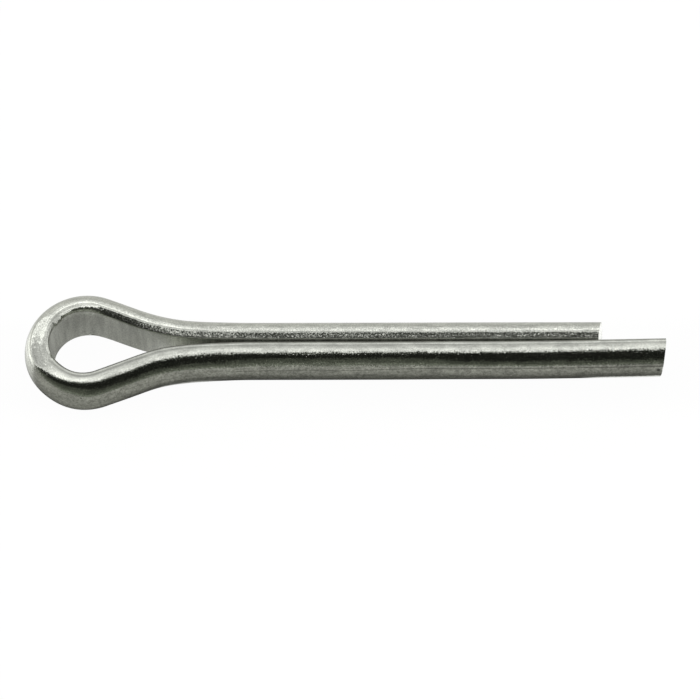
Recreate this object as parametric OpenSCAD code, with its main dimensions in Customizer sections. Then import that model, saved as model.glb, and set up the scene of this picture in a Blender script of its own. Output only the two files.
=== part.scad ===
// Cotter pin: one length of half-round wire, folded in the middle so that its flat sides meet.
// X runs along the shank towards the tips, Y runs across the two legs, and Z is up.
// The origin is on the shank's axis, in the plane where the head seats on the rim of its hole.

/* [Wire] */
// Diameter of the shank, over both legs
shank_d = 7.1; // [6:0.1:8]
// Slit between the flat sides of the two legs
slit = 0.2; // [0.1:0.05:1]
// Radius along the two edges of the wire's flat side
edge_r = 0.85; // [0.2:0.05:1]
// How much the wire swells all round where it is bent
bend_swell = 0.02; // [0.01:0.01:0.05]

/* [Eye] */
// Inside radius of the eye
eye_r = 4.15; // [3.6:0.05:6]
// Slope of the two flanks that lead from the eye to the shank
flank_angle = 21.5; // [16:0.5:25]
// Radius of the hollow outside curve where a flank turns into its leg
flare_r = 27; // [20:0.5:36]

/* [Legs] */
// Play of the shank in the hole that it is made for
hole_play = 0.8; // [0.3:0.05:1.2]
// Length under the head, from the rim of the hole to the tip of the short leg
pin_l = 50.8; // [30:0.2:100]
// Reach of the long leg past the short one
tip_reach = 8.9; // [2:0.1:14]
// Slant of the sheared tips
tip_angle = 15.5; // [0:0.5:25]

/* [Hidden] */
$fn = 128;
zinc = [0.70, 0.71, 0.68];

// Half-round section: the crown's centre lies half a slit outside the flat side
shank_r = shank_d / 2;
wire_t = shank_r - slit / 2;
crown_x = -slit / 2;
edge_z = sqrt((shank_r - edge_r) ^ 2 - (edge_r - crown_x) ^ 2);

// Path of the flat side, from the eye's arc along a straight flank and the flare's arc to a leg
flare_flat_r = flare_r + wire_t;
flare_drop = flare_flat_r * (1 - cos(flank_angle));
flank_l = (eye_r * cos(flank_angle) - flare_drop - slit / 2) / sin(flank_angle);
eye_to_leg = (eye_r + flare_flat_r) * sin(flank_angle) + flank_l * cos(flank_angle);

// The head seats where the flare has widened to the rim of the hole
seat_angle = acos(1 - hole_play / 2 / flare_r);
leg_x = flare_r * sin(seat_angle);
eye_x = leg_x - eye_to_leg;

// Straight wire reaches this far into the swollen bends, where it lies inside them
bend_lap = 2 * bend_swell;

// How far a cutting shape reaches past what it cuts
past = shank_d;

// Half-round section, with its flat side on the Y axis and its crown towards +X.
// The whole outline grows outwards by swell.
module wire_section(swell = 0) {
    difference() {
        translate([crown_x, 0]) circle(r = shank_r + swell);
        translate([-swell - past, -past]) square([past, 2 * past]);
        edge_waste(swell);
        mirror([0, 1]) edge_waste(swell);
    }
}

// What the edge radius takes off the sharp corner between the flat side and the crown
module edge_waste(swell) {
    crown_centre = [crown_x, 0];
    edge_centre = [edge_r, edge_z];
    to_crown = (edge_centre - crown_centre) / (shank_r - edge_r);
    on_flat = [-swell, edge_z];
    on_crown = crown_centre + to_crown * (shank_r + swell);
    difference() {
        polygon([on_flat, edge_centre, on_crown, [-swell, past]]);
        translate(edge_centre) circle(r = edge_r + swell);
    }
}

// Straight wire along +X, with its flat side on the XZ plane and its crown towards +Y.
// It reaches into the bends before and after it.
module straight_wire(length) {
    translate([-bend_lap, 0, 0])
        rotate([90, 0, 90]) linear_extrude(length + 2 * bend_lap) wire_section();
}

// Round end of the eye, from one flank round the nose to the other
module eye_bend() {
    translate([eye_x, 0, 0])
        rotate(90 - flank_angle)
            rotate_extrude(angle = 180 + 2 * flank_angle)
                translate([eye_r, 0]) wire_section(bend_swell);
}

// Straight flank on the +Y side
module flank() {
    translate([eye_x, 0, 0])
        rotate(-flank_angle)
            translate([0, eye_r, 0]) straight_wire(flank_l);
}

// Bend that turns the +Y flank into its leg, with its crown towards the bend's centre
module flare_bend() {
    translate([leg_x, slit / 2 + flare_flat_r, 0])
        rotate(-90 - flank_angle)
            rotate_extrude(angle = flank_angle)
                translate([flare_flat_r, 0]) mirror([1, 0]) wire_section(bend_swell);
}

// Straight leg on the +Y side, longer than any tip
module leg_stock() {
    translate([leg_x, slit / 2, 0]) straight_wire(pin_l + tip_reach - leg_x + past);
}

// All that lies past a slanted cut that crosses the shank's axis at tip_x
module past_tip(tip_x) {
    translate([tip_x, 0, 0])
        rotate(-tip_angle)
            translate([0, -2 * past, -past]) cube([pin_l + past, 4 * past, 2 * past]);
}

module cotter_pin() {
    color(zinc) {
        eye_bend();
        flank();
        mirror([0, 1, 0]) flank();
        flare_bend();
        mirror([0, 1, 0]) flare_bend();
        difference() {
            leg_stock();
            past_tip(pin_l);
        }
        difference() {
            mirror([0, 1, 0]) leg_stock();
            past_tip(pin_l + tip_reach);
        }
    }
}

cotter_pin();
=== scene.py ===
import math

import bmesh
import bpy
from mathutils import Matrix, Vector


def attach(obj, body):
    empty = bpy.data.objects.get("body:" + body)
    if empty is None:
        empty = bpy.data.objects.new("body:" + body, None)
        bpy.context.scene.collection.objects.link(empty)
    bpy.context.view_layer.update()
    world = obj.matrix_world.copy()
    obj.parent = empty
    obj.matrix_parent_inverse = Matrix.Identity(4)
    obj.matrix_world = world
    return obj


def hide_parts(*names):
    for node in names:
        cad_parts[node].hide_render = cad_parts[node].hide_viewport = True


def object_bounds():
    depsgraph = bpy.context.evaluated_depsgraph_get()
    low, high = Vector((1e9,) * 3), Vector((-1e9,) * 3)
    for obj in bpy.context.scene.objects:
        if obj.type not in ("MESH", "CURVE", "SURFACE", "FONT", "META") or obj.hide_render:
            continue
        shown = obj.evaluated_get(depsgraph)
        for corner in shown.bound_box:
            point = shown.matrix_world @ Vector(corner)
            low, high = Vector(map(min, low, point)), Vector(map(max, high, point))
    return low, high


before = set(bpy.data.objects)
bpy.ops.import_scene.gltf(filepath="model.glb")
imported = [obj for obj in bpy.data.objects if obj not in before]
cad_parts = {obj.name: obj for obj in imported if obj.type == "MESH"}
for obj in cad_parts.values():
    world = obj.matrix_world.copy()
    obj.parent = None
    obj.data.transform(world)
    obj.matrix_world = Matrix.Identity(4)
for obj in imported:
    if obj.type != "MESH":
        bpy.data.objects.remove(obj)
cad_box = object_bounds()

# A cotter pin, folded from half-round wire and bent by hand. X runs along the shank towards the tips,
# Y runs across the two legs from the near one to the far one, and Z is up.

MM = 0.001
UP = Vector((0, 0, 1))

# The wire: its half-round section, each edge of the flat side broken by a bevel between two small radii
SHANK_R = 3.55 * MM
SLIT = 0.22 * MM
EDGE_R = 0.3 * MM
BEVEL = 0.75 * MM
BEVEL_TILT = math.radians(40)
WIRE_T = SHANK_R - SLIT / 2

# The fold: round eye, straight flanks, flared bends into the legs
EYE_R = 4.15 * MM
FLANK_ANGLE = math.radians(21.5)
FLARE_R = 27 * MM
HOLE_PLAY = 0.8 * MM

# The tips: the side of each leg, how far it reaches, how its cut slants across and down, and how wide its
# rim is eased. The short leg is the far one. Both are drawn a little too long before they are cut.
SHORT_LEG = dict(side=1, tip_x=51.43 * MM, slant=0.14, lean=0.095, rim_width=0.08 * MM)
LONG_LEG = dict(side=-1, tip_x=59.32 * MM, slant=0.08, lean=-0.07, rim_width=0.2 * MM)
STOCK_LEFT = 2 * MM

# How many steps each stretch of the section and of the fold is swept in.
# A shoulder is the round between a bevel and the crown.
EDGE_STEPS = 6
BEVEL_STEPS = 3
SHOULDER_STEPS = 7
CROWN_STEPS = 72
FLAT_STEPS = 14
EYE_STEPS = 90
FLANK_STEPS = 24
FLARE_STEPS = 50
LEG_STEPS = 120

# How far the bending went off true: the eye leans open, sits aside and is thinner
EYE_LEAN = math.radians(2.7)
EYE_SHIFT = -0.094 * MM
EYE_THINNED = 0.03

# The middle of the stretch where the slit starts, which stands open a little, and how far it spreads
SLIT_START = 3.2 * MM
SLIT_SPREAD = 3 * MM

# The near leg curves in: LEG_CURVE times the square of the way past the start of the curve, in metres
LEG_CURVE = 0.28
CURVE_START = 20 * MM

# The facet that the bending left on top of the nose: its height at the flat side, its slope outwards,
# and how far it rises, and between which degrees round the eye, until it is gone
FACET_Z = 3.48 * MM
FACET_SLOPE = 0.4
FACET_RISE = 0.9 * MM
FACET_ENDS = 20, 65

# The finished wire stays just inside the box of the solid
INSIDE_Y = 7.58 * MM
INSIDE_Z = 3.385 * MM

# Faces that meet at more than this angle keep a sharp edge
SHARP_FROM = math.radians(35)

# Places that follow from the sizes above
FLARE_FLAT_R = FLARE_R + WIRE_T
FLARE_DROP = FLARE_FLAT_R * (1 - math.cos(FLANK_ANGLE))
FLANK_L = (EYE_R * math.cos(FLANK_ANGLE) - FLARE_DROP - SLIT / 2) / math.sin(FLANK_ANGLE)
LEG_X = FLARE_R * math.sin(math.acos(1 - HOLE_PLAY / 2 / FLARE_R))
EYE_X = LEG_X - (EYE_R + FLARE_FLAT_R) * math.sin(FLANK_ANGLE) - FLANK_L * math.cos(FLANK_ANGLE)
EYE_ARC = math.pi / 2 + FLANK_ANGLE

# The finish: the metal's colour and its roughness where it is bright
ZINC = 0.66, 0.675, 0.616
ZINC_ROUGHNESS = 0.1

# Dark spots, each a centre and a size, and the centres of small painted glints, all in millimetres
DARK_SPOTS = ((-12.4, -7.2, 1.6), 0.16), ((58.6, -3.2, 0.9), 0.3)
PAINTED_GLINTS = (-15.36, 3.06, 3.1), (-16, -3.78, 3.2), (-14.75, -4.2, 3.2), (-14.3, -4.35, 3.2)
GLINT_SIZE = 0.17

# The studio's sky: the level of its light at each angle, in degrees from the front over the top to the back
SKY = [(0, .23), (3, .22), (9, .195), (14, .13), (18, .1), (23, .085), (28, .077), (32, .06), (36, .013),
       (51.5, .01), (55, .12), (58.5, .8), (63, 1.15), (69, 1.08), (75, .9), (81, .8), (95, .73), (120, .66),
       (132, .78), (139, 1), (145, 1.4), (154, 1.5), (161, 1.2), (166, .98), (172, .82), (180, .72)]

# The floor: how far it reaches in metres and its grey. The camera sees a white over the grey: how bright
# the white is, and its share.
FLOOR_SIZE = 3
FLOOR_GREY = 0.5, 0.5, 0.47
FLOOR_WHITE = 1.08
WHITE_SHARE = 0.9

# The camera: the point on the pin that it looks at, its distance, its angles and its lens
CAMERA_AIM = Vector((EYE_X - EYE_R + 36.92 * MM, 0.19 * MM, 0.1 * MM))
CAMERA_AWAY = 469.8 * MM
CAMERA_RISE = math.radians(61.86)
CAMERA_TURN = math.radians(-0.14)
CAMERA_LENS = 195.08


def smooth(low, high, value):
    """0 at low, 1 at high, and a smooth step between them."""
    t = min(max((value - low) / (high - low), 0), 1)
    return t * t * (3 - 2 * t)


def ramp(at, start, end, first=0, last=1):
    """A smooth step from first to last between two places, which are given in millimetres."""
    return first + (last - first) * smooth(start * MM, end * MM, at)


def between(at, start, full, fading, end):
    """1 between two places and 0 away from them, all given in millimetres."""
    return ramp(at, start, full) * ramp(at, fading, end, 1, 0)


def hump(at, middle, width):
    """1 in the middle and soft on both sides of it."""
    return math.exp(-((at - middle) / width) ** 2)


# ---------------------------------------------------------------- wire


def swing(bm, geom, centre, axis, angle, steps):
    """Sweeps vertices or edges round an axis and returns what it ends in."""
    made = bmesh.ops.spin(bm, geom=geom, cent=centre, axis=axis, angle=angle, steps=steps,
                          dvec=(0, 0, 0), use_duplicate=False)
    return [g for g in made["geom_last"] if not isinstance(g, bmesh.types.BMFace)]


def draw_on(bm, geom, way, steps):
    """Sweeps vertices or edges straight on by the given way and returns what it ends in."""
    made = bmesh.ops.spin(bm, geom=geom, cent=(0, 0, 0), axis=UP, angle=0, steps=steps,
                          dvec=way / steps, use_duplicate=False)
    return [g for g in made["geom_last"] if not isinstance(g, bmesh.types.BMFace)]


def wire_section(bm):
    """Outline of the half-round wire where it crosses the middle of the fold, flat side towards +X."""
    bevel_x = BEVEL * math.cos(BEVEL_TILT)
    bevel_z = BEVEL * math.sin(BEVEL_TILT)
    bevel_out = EDGE_R + bevel_x
    crown_start = math.asin((bevel_out + SLIT / 2) / (SHANK_R - EDGE_R))
    crown_z = (SHANK_R - EDGE_R) * math.cos(crown_start)
    flat_x = EYE_X - EYE_R
    flat_z = crown_z - bevel_z
    edge_turn = math.pi / 2 - BEVEL_TILT
    shoulder_turn = BEVEL_TILT + crown_start
    along_fold = Vector((0, 1, 0))
    line = [bm.verts.new((flat_x, 0, -flat_z))]
    line = swing(bm, line, (flat_x - EDGE_R, 0, -flat_z), along_fold, edge_turn, EDGE_STEPS)
    line = draw_on(bm, line, Vector((-bevel_x, 0, -bevel_z)), BEVEL_STEPS)
    line = swing(bm, line, (flat_x - bevel_out, 0, -crown_z), along_fold, shoulder_turn, SHOULDER_STEPS)
    line = swing(bm, line, (flat_x + SLIT / 2, 0, 0), along_fold, math.pi - 2 * crown_start, CROWN_STEPS)
    line = swing(bm, line, (flat_x - bevel_out, 0, crown_z), along_fold, shoulder_turn, SHOULDER_STEPS)
    line = draw_on(bm, line, Vector((bevel_x, 0, -bevel_z)), BEVEL_STEPS)
    line = swing(bm, line, (flat_x - EDGE_R, 0, flat_z), along_fold, edge_turn, EDGE_STEPS)
    draw_on(bm, line, Vector((0, 0, -2 * flat_z)), FLAT_STEPS)
    bmesh.ops.remove_doubles(bm, verts=bm.verts, dist=1e-7)
    return bm.verts[:] + bm.edges[:]


def cut_tip(bm, side, tip_x, slant, lean, rim_width):
    """Shears one leg off at a slant, closes the end and eases its rim."""
    past_flare = LEG_X + 20 * MM
    leg = [v for v in bm.verts if v.co.x > past_flare and v.co.y * side > 0]
    held = set(leg)
    edges = [e for e in bm.edges if e.verts[0] in held and e.verts[1] in held]
    faces = [f for f in bm.faces if all(v in held for v in f.verts)]
    cut = bmesh.ops.bisect_plane(bm, geom=leg + edges + faces, dist=1e-8, plane_co=(tip_x, 0, 0),
                                 plane_no=Vector((1, -slant, lean)).normalized(),
                                 use_snap_center=False, clear_outer=True, clear_inner=False)
    rim = [g for g in cut["geom_cut"] if isinstance(g, bmesh.types.BMEdge)]
    bmesh.ops.contextual_create(bm, geom=rim)
    bmesh.ops.bevel(bm, geom=rim, offset=rim_width, offset_type="OFFSET", segments=3, profile=0.5,
                    affect="EDGES", material=-1, clamp_overlap=True, loop_slide=True)


def fold_wire():
    """The whole pin, true: the wire swept along one half of the fold, mirrored, and sheared at both tips."""
    bm = bmesh.new()
    end = wire_section(bm)
    end = swing(bm, end, (EYE_X, 0, 0), UP, -EYE_ARC, EYE_STEPS)
    flank = Vector((math.cos(FLANK_ANGLE), -math.sin(FLANK_ANGLE), 0)) * FLANK_L
    end = draw_on(bm, end, flank, FLANK_STEPS)
    end = swing(bm, end, (LEG_X, SLIT / 2 + FLARE_FLAT_R, 0), UP, FLANK_ANGLE, FLARE_STEPS)
    draw_on(bm, end, Vector((LONG_LEG["tip_x"] - LEG_X + STOCK_LEFT, 0, 0)), LEG_STEPS)
    bmesh.ops.mirror(bm, geom=bm.verts[:] + bm.edges[:] + bm.faces[:], matrix=Matrix(),
                     merge_dist=1e-6, axis="Y")
    cut_tip(bm, **SHORT_LEG)
    cut_tip(bm, **LONG_LEG)
    bmesh.ops.remove_doubles(bm, verts=bm.verts, dist=1e-7)
    bmesh.ops.recalc_face_normals(bm, faces=bm.faces)
    return bm


def wire_place(co):
    """Where a point is on the wire, and the way outwards there.

    The place is the way along the wire from the middle of the fold, which is negative on the near half,
    then the distance outwards from the flat side, then the height.
    """
    x, y = co.x, abs(co.y)
    lean = Vector((math.sin(FLANK_ANGLE), math.cos(FLANK_ANGLE)))
    along = Vector((math.cos(FLANK_ANGLE), -math.sin(FLANK_ANGLE)))
    from_eye = Vector((x - EYE_X, y))
    eye_l = EYE_ARC * EYE_R
    bend = math.atan2(LEG_X - x, SLIT / 2 + FLARE_FLAT_R - y)
    flank_at = from_eye.dot(along)
    if flank_at < 0:
        path = EYE_R * (math.pi - math.atan2(y, x - EYE_X))
        out = from_eye.length - EYE_R
        outwards = from_eye.normalized()
    elif bend > FLANK_ANGLE:
        path = eye_l + flank_at
        out = from_eye.dot(lean) - EYE_R
        outwards = lean
    elif bend > 0:
        path = eye_l + FLANK_L + (FLANK_ANGLE - bend) * FLARE_FLAT_R
        out = FLARE_FLAT_R - math.hypot(LEG_X - x, SLIT / 2 + FLARE_FLAT_R - y)
        outwards = Vector((math.sin(bend), math.cos(bend)))
    else:
        path = eye_l + FLANK_L + FLANK_ANGLE * FLARE_FLAT_R + x - LEG_X
        out = y - SLIT / 2
        outwards = Vector((0, 1))
    side = math.copysign(1, co.y)
    return Vector((side * path, out, co.z)), Vector((outwards.x, side * outwards.y, 0))


def rounded(out, height, radius):
    """A point near the wire's bevelled edge, moved out to a plain round edge of the given radius."""
    centre = Vector((radius, math.sqrt((SHANK_R - radius) ** 2 - (radius + SLIT / 2) ** 2)))
    crown = Vector((-SLIT / 2, 0))
    point = Vector((out, height))
    from_edge = point - centre
    turned = math.atan2(from_edge.y, -from_edge.x)
    past_edge = 1.5 * MM
    if out > past_edge or not 0 < turned < math.pi:
        return point
    if turned < math.atan2(centre.y, crown.x - centre.x):
        return centre + from_edge.normalized() * radius
    return crown + (point - crown).normalized() * SHANK_R


def by_flat_side(out):
    """1 at the wire's flat side, 0 further out."""
    return ramp(out, 0, 1.2, 1, 0)


def worn_far_edge(now, x, place):
    """A point by the far half's top edge: raised along the slit, round at the nose, with a torn lip there."""
    path, out, up = place
    edge_width = 0.7 * MM
    raised = ramp(x, -6, 3, 0.1, 0.155) * MM * ramp(x, -7.5, -3.5)
    now.y += raised * max(1 - out / edge_width, 0)
    radius = ramp(path, 4.5, 6.5, 0.7, 0.82) * MM
    by_nose = ramp(path, 6.8, 8.8, 1, 0)
    now = now.lerp(rounded(out, up, radius), by_nose)
    lip = 0.2 * MM * between(path, 2.25, 2.5, 3.2, 3.6)
    now.x -= lip * by_flat_side(out) * ramp(up, 2, 2.7)
    return now


def worn(x, place):
    """How far outwards and up a point of the true section moved: rounder edges, and a facet on the nose."""
    path, out, up = place
    now = Vector((out, abs(up)))
    if up < 0:
        under_radius = ramp(abs(path), 6, 10, 0.6, 0.85) * MM
        now = rounded(out, -up, under_radius)
    elif path <= 0:
        near_radius = ramp(x, -6, 6, 0.7, 0.85) * MM
        now = rounded(out, up, near_radius)
    if path > 0:
        slit_opened = 0.08 * MM * ramp(x, -2, 8)
        now.x += slit_opened * by_flat_side(out)
        if up > 0:
            now = worn_far_edge(now, x, place)
    if up > 0:
        facet_end = smooth(*FACET_ENDS, math.degrees(abs(path) / EYE_R))
        now.y = min(now.y, FACET_Z - FACET_SLOPE * out + FACET_RISE * facet_end)
    return now.x - out, math.copysign(now.y, up) - up


def near_half_bend(x, out, up):
    """How far the near half moved: in towards the slit, out where the slit starts, and its crown bulged."""
    curve = LEG_CURVE * max(x - CURVE_START, 0) ** 2
    straight_leg = 0.08 * MM * between(x, 2, 8, 30, 45)
    flank_end = 0.11 * MM * hump(x, -2.8 * MM, 2.2 * MM)
    slit_start = -0.08 * MM * hump(x, SLIT_START, SLIT_SPREAD)
    round_crown = math.atan2(out, up)
    turned = math.degrees(round_crown)
    bulge = 0.13 * MM * smooth(37, 60, turned) * (1 - smooth(80, 115, turned))
    bulge *= ramp(x, 26, 38) + 0.8 * between(x, -14, -11, 4, 11)
    inwards = curve + straight_leg + flank_end + slit_start - bulge * math.sin(round_crown)
    return Vector((0, inwards, bulge * math.cos(round_crown)))


def far_half_bend(x):
    """How far the far half moved: away from the slit, and most where the slit starts."""
    straight_leg = 0.05 * MM * ramp(x, 2, 8) + 0.01 * MM * ramp(x, 15, 40)
    slit_start = 0.14 * MM * hump(x, SLIT_START, SLIT_SPREAD)
    return Vector((0, straight_leg + slit_start, 0))


def bend_by_hand(co, place, outwards):
    """Where a point of the true fold lies on the pin as it was bent."""
    path, out, up = place
    x = co.x
    more_out, more_up = worn(x, place)
    out_now, up_now = out + more_out, up + more_up
    eye_share = 1 - smooth(EYE_X - EYE_R, LEG_X, x)
    lean = EYE_LEAN * eye_share
    thin = 1 - EYE_THINNED * eye_share
    moved = co + outwards * (out_now * math.cos(lean) * thin + up_now * math.sin(lean) - out)
    moved.z += up_now * math.cos(lean) - out_now * math.sin(lean) - up
    moved.y += EYE_SHIFT * eye_share
    turned = math.degrees(path / EYE_R)
    far_bulge = 0.1 * MM * hump(turned, 115, 45)
    near_hollow = 0.12 * MM * hump(turned, -50, 22)
    moved += outwards * (far_bulge - near_hollow)
    moved += near_half_bend(x, out, up) if path < 0 else far_half_bend(x)
    moved.y = max(moved.y, -INSIDE_Y)
    moved.z = min(max(moved.z, -INSIDE_Z), INSIDE_Z)
    return moved


def make_pin():
    """The folded wire, bent by hand. Each vertex keeps its place on the wire, which the finish follows."""
    bm = fold_wire()
    place = bm.verts.layers.float_vector.new("wire_place")
    for v in bm.verts:
        v[place], outwards = wire_place(v.co)
        v.co = bend_by_hand(v.co, v[place], outwards)
    mesh = bpy.data.meshes.new("folded_wire")
    bm.to_mesh(mesh)
    bm.free()
    mesh.shade_smooth()
    mesh.set_sharp_from_angle(angle=SHARP_FROM)
    piece = bpy.data.objects.new("folded_wire", mesh)
    bpy.context.collection.objects.link(piece)
    return piece


# ---------------------------------------------------------------- nodes


# A Mix node has sockets for every kind of value: where each kind's two inputs and its output are
MIX_SOCKETS = dict(FLOAT=(2, 3, 0), RGBA=(6, 7, 2))


class Field:
    """A number or a vector that changes over a surface: a node's output that can be reckoned with."""

    def __init__(self, tree, output):
        self.tree = tree
        self.output = output

    def __add__(self, other):
        return reckon("ADD", self, other)

    def __sub__(self, other):
        return reckon("SUBTRACT", self, other)

    def __rsub__(self, other):
        return reckon("SUBTRACT", other, self)

    def __mul__(self, other):
        return reckon("MULTIPLY", self, other)

    def __truediv__(self, other):
        return reckon("DIVIDE", self, other)

    def __abs__(self):
        return reckon("ABSOLUTE", self)


def node(tree, kind, **values):
    """Adds a node, sets its properties and the plain values of its inputs."""
    made = tree.nodes.new(kind)
    for name, value in values.items():
        if name in made.bl_rna.properties:
            setattr(made, name, value)
        else:
            made.inputs[name].default_value = value
    return made


def feed(value, socket):
    """Feeds a socket from a field, or sets it to a plain value."""
    if isinstance(value, Field):
        value.tree.links.new(value.output, socket)
    else:
        socket.default_value = value


def tree_of(values):
    """The node tree of the first field among some values."""
    return next(value.tree for value in values if isinstance(value, Field))


def reckon(operation, *values):
    """A sum, product or the like of numbers and fields."""
    tree = tree_of(values)
    made = node(tree, "ShaderNodeMath", operation=operation)
    for value, socket in zip(values, made.inputs):
        feed(value, socket)
    return Field(tree, made.outputs[0])


def vectors(operation, *values):
    """The same for fields of vectors. SCALE takes a vector and a number."""
    tree = tree_of(values)
    made = node(tree, "ShaderNodeVectorMath", operation=operation)
    sockets = [made.inputs[0], made.inputs["Scale"]] if operation == "SCALE" else made.inputs
    for value, socket in zip(values, sockets):
        feed(value, socket)
    return Field(tree, made.outputs["Value" if operation in ("DOT_PRODUCT", "LENGTH") else "Vector"])


def split(vector):
    """The three parts of a field of vectors."""
    made = node(vector.tree, "ShaderNodeSeparateXYZ")
    feed(vector, made.inputs[0])
    return [Field(vector.tree, output) for output in made.outputs]


def ease(value, low, high, to_low=0, to_high=1):
    """A smooth step: to_low where the value is at low, to_high where it is at high."""
    made = node(value.tree, "ShaderNodeMapRange", interpolation_type="SMOOTHSTEP")
    for name, given in (("Value", value), ("From Min", low), ("From Max", high),
                        ("To Min", to_low), ("To Max", to_high)):
        feed(given, made.inputs[name])
    return Field(value.tree, made.outputs["Result"])


def fade(value, low, high):
    """A smooth step down: 1 where the value is at low, 0 where it is at high."""
    return ease(value, low, high, to_low=1, to_high=0)


def band(value, start, full, fading, end, height=1):
    """The height given between two places, and 0 away from them."""
    return ease(value, start, full) * ease(value, fading, end, height, 0)


def bell(off):
    """1 where the field is at 0, and soft on both sides of that."""
    return reckon("EXPONENT", off * off * -1)


def blend(share, first, second, kind="FLOAT"):
    """The first value where the share is 0, the second where it is 1. The kind is FLOAT or RGBA."""
    made = node(share.tree, "ShaderNodeMix", data_type=kind)
    first_at, second_at, result_at = MIX_SOCKETS[kind]
    for at, value in ((0, share), (first_at, first), (second_at, second)):
        feed(value, made.inputs[at])
    return Field(share.tree, made.outputs[result_at])


def cloud(coords, size, detail, roughness):
    """Noise with blots of about the given size."""
    made = node(coords.tree, "ShaderNodeTexNoise", Scale=1 / size, Detail=detail, Roughness=roughness)
    feed(coords, made.inputs["Vector"])
    return made


def blots(coords, size, darkest, lightest, detail=2, roughness=0.6, ends=(0.35, 0.65)):
    """Blots from darkest to lightest. The noise is even past its two ends, so near ones make hard blots."""
    made = cloud(coords, size, detail, roughness)
    return ease(Field(coords.tree, made.outputs["Fac"]), *ends, darkest, lightest)


def tilt(coords, size, strength, tail=0, detail=1):
    """A random tilt of the surface over spots of about the given size.

    With a tail, a few of the spots tilt much more than the rest.
    """
    colour = Field(coords.tree, cloud(coords, size, detail, 0.6).outputs["Color"])
    way = vectors("SUBTRACT", colour, (0.5, 0.5, 0.5))
    if tail:
        strength = (vectors("DOT_PRODUCT", way, way) * tail + 1) * strength
    return vectors("SCALE", way, strength)


def spot(coords, centre, size):
    """1 inside a small round spot, 0 outside it."""
    away = vectors("LENGTH", vectors("SUBTRACT", coords, centre))
    return fade(away, 0.5 * size, size)


# ---------------------------------------------------------------- finish


class Wire:
    """Where the finish is on the folded wire, in millimetres, and the stretches that its marks keep to.

    The wall is the wire's flat side and the crown all the rest. Far and near are the two halves of the fold.
    """

    def __init__(self, tree):
        coords = Field(tree, node(tree, "ShaderNodeTexCoord").outputs["Object"])
        place = Field(tree, node(tree, "ShaderNodeAttribute", attribute_name="wire_place").outputs["Vector"])
        self.coords = vectors("SCALE", coords, 1 / MM)
        self.place = vectors("SCALE", place, 1 / MM)
        self.along, self.out, self.up = split(self.place)
        self.from_nose = abs(self.along)
        self.wall = fade(self.out, 0.02, 0.12)
        self.crown = ease(self.out, 0.02, 0.12)
        self.far = ease(self.along, -2, 4)
        self.far_edge = ease(self.up, 2, 2.6) * fade(self.out, 1.3, 2.4) * self.crown * self.far
        self.near = fade(self.along, -4, -2)
        self.near_side = self.near * fade(self.up, 1.6, 2.2)

    def drawn_out(self, share):
        """The place on the wire, for marks that run along it: the smaller the share, the longer they are."""
        return vectors("MULTIPLY", self.place, (share, 1, 1))


def scored_line(wire):
    """The tilt of a thin ridge scored along the inner edge, at the far side of the eye."""
    off = (wire.out - 0.33) / 0.04
    steep = off * bell(off) * band(wire.along, 3.5, 4, 4.6, 5)
    from_eye = vectors("MULTIPLY", vectors("SUBTRACT", wire.coords, (EYE_X / MM, 0, 0)), (1, 1, 0))
    return vectors("SCALE", vectors("NORMALIZE", from_eye), steep)


def grained_normal(wire):
    """The way the surface faces, with the plating's grain.

    Its small pimples are steeper along the far half's bevelled edge, and shallow on top of the near half
    and round the near side of the eye. Dents, broad patches and drawing lines lie over them.
    """
    near_eye = wire.near * ease(wire.along, -16, -9)
    near_top = wire.near * ease(wire.out, 1.2, 1.8, 0.35, 0.17)
    calm = 1 - (near_top + near_eye * 0.4)
    near_leg_band = fade(wire.along, -22, -16) * band(wire.out, 1.85, 2.15, 2.8, 3.1)
    depth = ((wire.crown * 0.13 + 0.03) * calm + ease(wire.along, 12, 24) * 0.075
             + near_leg_band * 0.03 + wire.far_edge * 0.06)
    nose_top = fade(wire.from_nose, 1.4, 2.8) * ease(wire.up, 2.2, 2.6)
    marks = (tilt(wire.coords, 0.19, depth, tail=14),
             tilt(wire.coords, 0.1, wire.far_edge * 0.15),
             tilt(wire.coords, 0.45, nose_top * 0.34, detail=2),
             tilt(wire.drawn_out(0.4), 0.9, wire.crown * calm * 0.1, detail=2),
             tilt(wire.drawn_out(0.03), 0.16, wire.crown * calm * 0.08, tail=6),
             scored_line(wire))
    normal = Field(wire.coords.tree, node(wire.coords.tree, "ShaderNodeNewGeometry").outputs["Normal"])
    for mark in marks:
        normal = vectors("ADD", normal, mark)
    return vectors("NORMALIZE", normal)


def zinc_roughness(wire):
    """Dull where the wire's flat sides and worn edges are, a little duller on the near half."""
    wall = wire.wall * ease(wire.from_nose, 18, 26, 0.2, 0.45)
    far_edge = wire.far_edge * ease(wire.along, 12, 22, 0.08, 0.14)
    inner_edge = fade(wire.out, 0.35, 0.8) * ease(wire.up, 1.6, 2.4) * ease(wire.along, 2, 4, 0.28, 0)
    return wall + far_edge + inner_edge * wire.crown + wire.near * wire.crown * 0.025 + ZINC_ROUGHNESS


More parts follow.
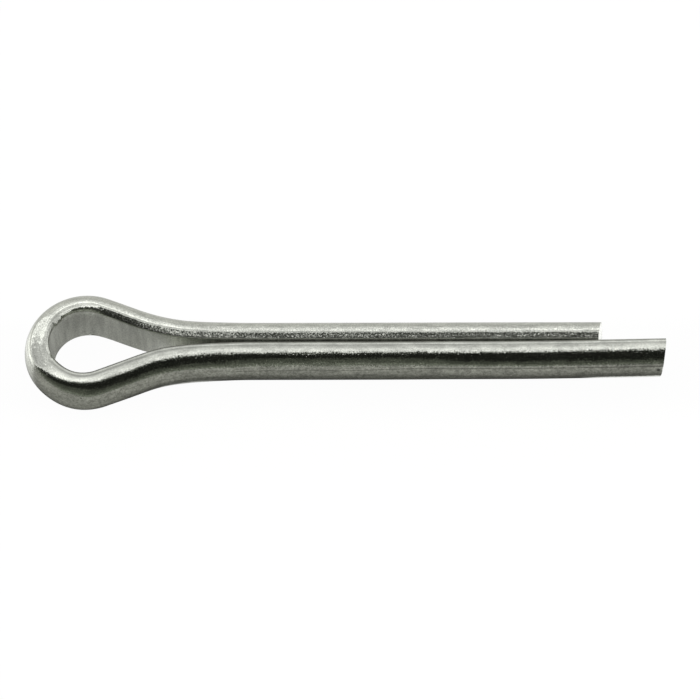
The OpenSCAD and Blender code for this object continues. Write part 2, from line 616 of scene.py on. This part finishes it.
def mottling_and_edge_shade(wire):
    """How light the metal is from spot to spot: grains, stains, scratches, and patches on the flat side, with
    a painted shade along the near half's inner top edge by the slit.
    """
    contrast = 1 - wire.near * ease(wire.out, 1.2, 1.8, 0.6, 0)
    speck = blots(wire.coords, 0.17, -0.21, 0.21, roughness=0.7, ends=(0.3, 0.7)) * contrast + 0.99
    stain = blots(wire.drawn_out(0.35), 0.7, 0.84, 1.1, detail=3)
    scratch = blots(wire.drawn_out(0.02), 0.13, -0.2, 0, detail=1, roughness=0.5, ends=(0.3, 0.42))
    scratch = scratch * contrast + 1
    upright = vectors("MULTIPLY", wire.place, (1, 1, 0.1))
    patch = blots(upright, 0.8, 0.88, 1.1, roughness=0.5)
    # The flat side is lighter by the nose, lighter on the far half from 12 to 27 mm along, and darker on it
    # from 2.5 to 10 mm along.
    tone = (band(wire.along, 12, 18, 22, 27, 0.1) - band(wire.along, 2.5, 4.5, 7, 10, 0.13)
            + 1.03 + ease(wire.from_nose, 1.5, 3.5, 0.12, 0))
    # Painted shade: the near half's inner top edge, by the slit, is made darker by about a third.
    slit_shade = fade(wire.out, 0.5, 1.1) * ease(wire.up, 1.6, 2.4) * fade(wire.along, -5, -2)
    blot = blots(wire.coords, 0.36, -0.24, 0.24, detail=3, ends=(0.3, 0.7))
    return (speck * (1 - slit_shade * 0.36) * blend(wire.wall, stain * scratch, patch * tone)
            * (blot * wire.near_side + 1))


def painted_highlights(wire):
    """How much lighter the base is made, a painted highlight: along the top of the eye on both sides, and on
    the long leg's tip.
    """
    far_top = wire.far * fade(wire.out, 1.1, 1.5)
    near_top = wire.near * band(wire.out, 0.8, 1.2, 1.7, 2.1)
    eye = (far_top + near_top) * band(wire.from_nose, 3, 4.2, 7.5, 9.5)
    tip = ease(wire.along, -66, -76, 0, 0.4) * band(wire.out, 0.2, 0.7, 1.5, 1.9)
    return (eye + tip) * ease(wire.up, 1.8, 2.4) * 0.3


def marks_and_painted_light(wire):
    """How much darker the base is made: the line that drawing left, dark spots, the near side towards the
    long leg's end, a painted shade and a painted highlight along the crease on the nose, and, lighter,
    painted glints.
    """
    line_up = ease(wire.along, -38, -50, 1.17, 1.47)
    drawn_line = bell((wire.up - line_up) / 0.06) * ease(wire.along, -27, -24, 0.5, 0)
    drawn_line *= ease(wire.out, 2.8, 3)
    on_nose = band(wire.along, -2.3, -1.3, 1.2, 2.2) * ease(wire.up, 0.5, 1.2)
    # Painted highlight just inside the crease on the nose, and painted shade just outside it.
    crease_light_and_shade = on_nose * (bell((wire.out - 2.85) / 0.09) * 0.35 - bell((wire.out - 2.66) / 0.08) * 0.3)
    # The near side is made darker towards the long leg's end.
    darker_near_long_tip = ease(wire.along, -62, -75, 0, 0.15) * wire.near_side
    dark = drawn_line + crease_light_and_shade + darker_near_long_tip
    # Dark spots on the metal.
    for centre, size in DARK_SPOTS:
        dark += spot(wire.coords, centre, size) * 0.6
    # Painted glints: small spots made lighter by half.
    for centre in PAINTED_GLINTS:
        dark -= spot(wire.coords, centre, GLINT_SIZE) * 0.5
    return dark


def zinc_plate():
    """Bright zinc over drawn wire. Its colour carries painted highlights, painted glints and painted shade.
    """
    material = bpy.data.materials.new("zinc_plate")
    material.use_nodes = True
    shader = material.node_tree.nodes["Principled BSDF"]
    shader.inputs["Metallic"].default_value = 1
    wire = Wire(material.node_tree)
    # The colour: the metal's mottling with painted shade by the slit, painted highlights, and the marks with
    # their painted light.
    shade = mottling_and_edge_shade(wire) * (painted_highlights(wire) + 1) * (1 - marks_and_painted_light(wire))
    feed(grained_normal(wire), shader.inputs["Normal"])
    feed(zinc_roughness(wire), shader.inputs["Roughness"])
    feed(vectors("SCALE", ZINC, shade), shader.inputs["Base Color"])
    return material


# ---------------------------------------------------------------- studio


def light_grey(level):
    """A grey of the light: neutral where it is bright, warm and greenish where it is dim."""
    dim = 1 - smooth(0.02, 0.6, level)
    return (level * (1 - 0.08 * dim), level, level * (1 - 0.2 * dim), 1)


def sky_ramp(tree, turn):
    """The sky's light over its angle, which runs from 0 at the front to 1 at the back."""
    made = node(tree, "ShaderNodeValToRGB")
    stops = made.color_ramp.elements
    stops.remove(stops[0])
    for at, (angle, level) in enumerate(SKY):
        stop = stops[0] if at == 0 else stops.new(angle / 180)
        stop.position = angle / 180
        stop.color = light_grey(level)
    feed(turn, made.inputs["Fac"])
    return Field(tree, made.outputs["Color"])


def studio():
    """A sky of soft bands from front to back, seen only by the pin. The camera sees white."""
    world = bpy.data.worlds.new("studio")
    bpy.context.scene.world = world
    world.use_nodes = True
    tree = world.node_tree
    _, y, z = split(Field(tree, node(tree, "ShaderNodeTexCoord").outputs["Generated"]))
    sky = sky_ramp(tree, reckon("ARCTAN2", z, y * -1) / math.pi)
    to_camera = Field(tree, node(tree, "ShaderNodeLightPath").outputs["Is Camera Ray"])
    feed(blend(to_camera, sky, (1, 1, 1, 1), "RGBA"), tree.nodes["Background"].inputs["Color"])


def painted_floor_glow(x, y):
    """Painted reflections: how brightly the floor glows for the metal's reflections alone, at the back, most
    of all at the left, between the two halves up to where the slit starts, round the short leg's tip and past
    the tips.
    """
    across = abs(y)
    back = ease(y, 1.5, 6, 0, 0.27)
    left = ease(x, -18, -27, 0, 0.95) * ease(y, -9, 5) * ease(y, 6, 10, 1, 0.1)
    inside = fade(across, 3, 4.5) * fade(x, 1, 5) * ease(x, -7, -2, 0.2, 0.42)
    right = ease(x, 49, 52, 0, 0.8) * ease(y, -3.4, -2.8) * fade(y, 5, 7)
    past_tips = ease(x, 59.9, 60.6, 0, 0.8) * fade(across, 12, 16)
    return back + left + inside + reckon("MAXIMUM", right, past_tips)


def pale_floor():
    """Grey under the pin, with the pin's shadow on it and a painted shadow that darkens the grey close to the
    pin, glowing patches that only the metal's reflections see, and white to the camera.
    """
    material = bpy.data.materials.new("pale_floor")
    material.use_nodes = True
    tree = material.node_tree
    tree.nodes.remove(tree.nodes["Principled BSDF"])
    coords = Field(tree, node(tree, "ShaderNodeTexCoord").outputs["Object"])
    x, y, _ = split(vectors("SCALE", coords, 1 / MM))
    path = node(tree, "ShaderNodeLightPath")
    cloth = node(tree, "ShaderNodeBsdfDiffuse")
    # Painted shadow: the grey is 0.6 as bright within 4 mm of the pin's middle line, and full beyond 9 mm.
    feed(vectors("SCALE", FLOOR_GREY, ease(abs(y), 4, 9, 0.6, 1)), cloth.inputs["Color"])
    # Painted reflections: the floor glows where the metal's reflections see it, and nowhere else.
    reflected_glow = node(tree, "ShaderNodeEmission")
    feed(painted_floor_glow(x, y) * Field(tree, path.outputs["Is Glossy Ray"]), reflected_glow.inputs["Strength"])
    lit = node(tree, "ShaderNodeAddShader")
    tree.links.new(cloth.outputs[0], lit.inputs[0])
    tree.links.new(reflected_glow.outputs[0], lit.inputs[1])
    white = node(tree, "ShaderNodeEmission", Strength=FLOOR_WHITE)
    mix = node(tree, "ShaderNodeMixShader")
    feed(Field(tree, path.outputs["Is Camera Ray"]) * WHITE_SHARE, mix.inputs[0])
    tree.links.new(lit.outputs[0], mix.inputs[1])
    tree.links.new(white.outputs[0], mix.inputs[2])
    tree.links.new(mix.outputs[0], tree.nodes["Material Output"].inputs["Surface"])
    return material


def floor():
    """A wide flat floor at the pin's underside."""
    bm = bmesh.new()
    bmesh.ops.create_grid(bm, x_segments=1, y_segments=1, size=FLOOR_SIZE)
    bmesh.ops.translate(bm, verts=bm.verts, vec=(0, 0, cad_box[0][2]))
    mesh = bpy.data.meshes.new("floor")
    bm.to_mesh(mesh)
    bm.free()
    mesh.materials.append(pale_floor())
    piece = bpy.data.objects.new("floor", mesh)
    bpy.context.collection.objects.link(piece)


def camera():
    """Looks down on the pin from the front, through a long lens."""
    away = Vector((math.sin(CAMERA_TURN) * math.cos(CAMERA_RISE),
                   -math.cos(CAMERA_TURN) * math.cos(CAMERA_RISE),
                   math.sin(CAMERA_RISE)))
    data = bpy.data.cameras.new("camera")
    data.lens = CAMERA_LENS
    data.clip_start = 0.01
    piece = bpy.data.objects.new("camera", data)
    bpy.context.collection.objects.link(piece)
    piece.location = CAMERA_AIM + away * CAMERA_AWAY
    piece.rotation_euler = (-away).to_track_quat("-Z", "Y").to_euler()
    bpy.context.scene.camera = piece


bpy.context.scene.view_settings.view_transform = "Standard"
camera()
studio()
floor()

pin = make_pin()
pin.data.materials.append(zinc_plate())
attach(pin, "root")
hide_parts("cotter_pin")
